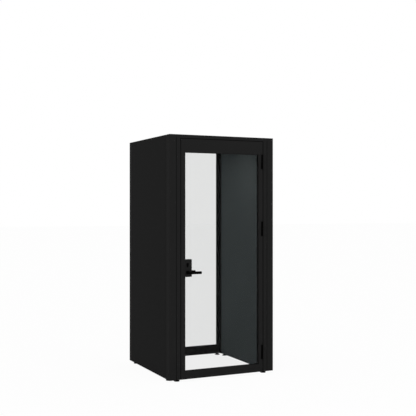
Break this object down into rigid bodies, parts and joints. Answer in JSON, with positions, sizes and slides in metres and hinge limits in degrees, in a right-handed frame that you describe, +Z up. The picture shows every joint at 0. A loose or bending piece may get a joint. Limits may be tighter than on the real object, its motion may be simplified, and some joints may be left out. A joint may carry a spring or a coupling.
{
  "type": "acoustic office pod",
  "caption": "Upright one-person acoustic pod with solid felt-lined side walls, glazed front door and rear pane, black frame and levelling feet.",
  "frame": {"origin": "floor level under the middle of the pod's box, levers included", "axes": "+X to the right seen from the front, +Y to the rear, +Z up; the door is on the -Y side"},
  "size_m": [1.1, 1.157, 2.3],
  "materials": {
    "frame_paint": "matte black powder coat",
    "board_paint": "matte black lacquer",
    "wall_timber": "planed softwood",
    "acoustic_wool": "polyester wadding",
    "felt": "pressed felt",
    "glass": "clear laminated glass",
    "rubber": "soft black rubber",
    "hardware_black": "satin black",
    "hinge_black": "satin black",
    "steel": "satin nickel",
    "black_plastic": "moulded black plastic",
    "foot_plastic": "moulded black plastic",
    "diffuser": "opal"
  },
  "bodies": {
    "pod": {"post_front_left": "frame_paint", "post_front_right": "frame_paint", "post_rear_left": "frame_paint", "post_rear_right": "frame_paint", "front_header": "frame_paint", "rear_header": "frame_paint", "jamb_left": "frame_paint", "jamb_right": "frame_paint", "rear_left_stile": "frame_paint", "rear_right_stile": "frame_paint", "rear_bottom_rail": "frame_paint", "left_outer_panel": "board_paint", "right_outer_panel": "board_paint", "roof_panel": "board_paint", "left_wall_frame": "wall_timber", "right_wall_frame": "wall_timber", "left_wall_core": "acoustic_wool", "right_wall_core": "acoustic_wool", "left_felt_panel": "felt", "right_felt_panel": "felt", "ceiling_panel": "felt", "rear_glass": "glass", "rear_glazing_gasket": "rubber", "door_seal": "rubber", "light_diffuser": "diffuser", "fan_frame": "black_plastic", "power_inlet": "black_plastic", "strike_plate": "steel", "hinge_frame_leaf_top": "hinge_black", "hinge_frame_leaf_middle": "hinge_black", "hinge_frame_leaf_bottom": "hinge_black", "hinge_pin_top": "steel", "hinge_pin_middle": "steel", "hinge_pin_bottom": "steel"},
    "door": {"door_latch_stile": "frame_paint", "door_hinge_stile": "frame_paint", "door_top_rail": "frame_paint", "door_bottom_rail": "frame_paint", "door_glass": "glass", "door_glazing_gasket": "rubber", "lock_case_outer": "hardware_black", "lock_case_inner": "hardware_black", "lock_cylinder": "steel", "hinge_door_leaf_top": "hinge_black", "hinge_door_leaf_middle": "hinge_black", "hinge_door_leaf_bottom": "hinge_black"},
    "lever_pair": {"outer_lever": "hardware_black", "inner_lever": "hardware_black"},
    "latch": {"latch_bolt": "steel"},
    "thumb_turn": {"thumb_turn": "steel"},
    "deadbolt": {"deadbolt": "steel"},
    "fan_rotor": {"fan_rotor": "black_plastic"},
    "foot_front_left": {"foot_front_left": "foot_plastic"},
    "foot_front_right": {"foot_front_right": "foot_plastic"},
    "foot_rear_left": {"foot_rear_left": "foot_plastic"},
    "foot_rear_right": {"foot_rear_right": "foot_plastic"},
    "foot_left_front": {"foot_left_front": "foot_plastic"},
    "foot_right_front": {"foot_right_front": "foot_plastic"},
    "foot_left_rear": {"foot_left_rear": "foot_plastic"},
    "foot_right_rear": {"foot_right_rear": "foot_plastic"}
  },
  "joints": [
    {"name": "door_swing", "type": "hinge", "parent": "pod", "child": "door", "pos_m": [0.4265, -0.5265, 1.118], "axis": [0, 0, 1], "range_deg": [0, 120]},
    {"name": "lever_turn", "type": "hinge", "parent": "door", "child": "lever_pair", "pos_m": [-0.3655, -0.4995, 1.012], "axis": [0, 1, 0], "range_deg": [0, 40], "stiffness_Nm_per_rad": 2, "springref_deg": -22.92},
    {"name": "latch_slide", "type": "slide", "parent": "door", "child": "latch", "axis": [1, 0, 0], "range_m": [0, 0.012]},
    {"name": "thumb_turn_turn", "type": "hinge", "parent": "door", "child": "thumb_turn", "pos_m": [-0.3655, -0.4995, 1.09], "axis": [0, 1, 0], "range_deg": [0, 90]},
    {"name": "deadbolt_slide", "type": "slide", "parent": "door", "child": "deadbolt", "axis": [-1, 0, 0], "range_m": [0, 0.014]},
    {"name": "fan_spin", "type": "hinge", "parent": "pod", "child": "fan_rotor", "pos_m": [0, 0.2385, 2.274], "axis": [0, 0, 1], "continuous": true},
    {"name": "foot_front_left_screw", "type": "slide", "parent": "pod", "child": "foot_front_left", "axis": [0, 0, 1], "range_m": [-0.015, 0.006]},
    {"name": "foot_front_right_screw", "type": "slide", "parent": "pod", "child": "foot_front_right", "axis": [0, 0, 1], "range_m": [-0.015, 0.006]},
    {"name": "foot_rear_left_screw", "type": "slide", "parent": "pod", "child": "foot_rear_left", "axis": [0, 0, 1], "range_m": [-0.015, 0.006]},
    {"name": "foot_rear_right_screw", "type": "slide", "parent": "pod", "child": "foot_rear_right", "axis": [0, 0, 1], "range_m": [-0.015, 0.006]},
    {"name": "foot_left_front_screw", "type": "slide", "parent": "pod", "child": "foot_left_front", "axis": [0, 0, 1], "range_m": [-0.015, 0.006]},
    {"name": "foot_right_front_screw", "type": "slide", "parent": "pod", "child": "foot_right_front", "axis": [0, 0, 1], "range_m": [-0.015, 0.006]},
    {"name": "foot_left_rear_screw", "type": "slide", "parent": "pod", "child": "foot_left_rear", "axis": [0, 0, 1], "range_m": [-0.015, 0.006]},
    {"name": "foot_right_rear_screw", "type": "slide", "parent": "pod", "child": "foot_right_rear", "axis": [0, 0, 1], "range_m": [-0.015, 0.006]}
  ],
  "couplings": [
    {"joint": "latch_slide", "follows": "lever_turn", "m_per_rad": 0.0169},
    {"joint": "thumb_turn_turn", "follows": "deadbolt_slide", "rad_per_m": 112.2}
  ]
}
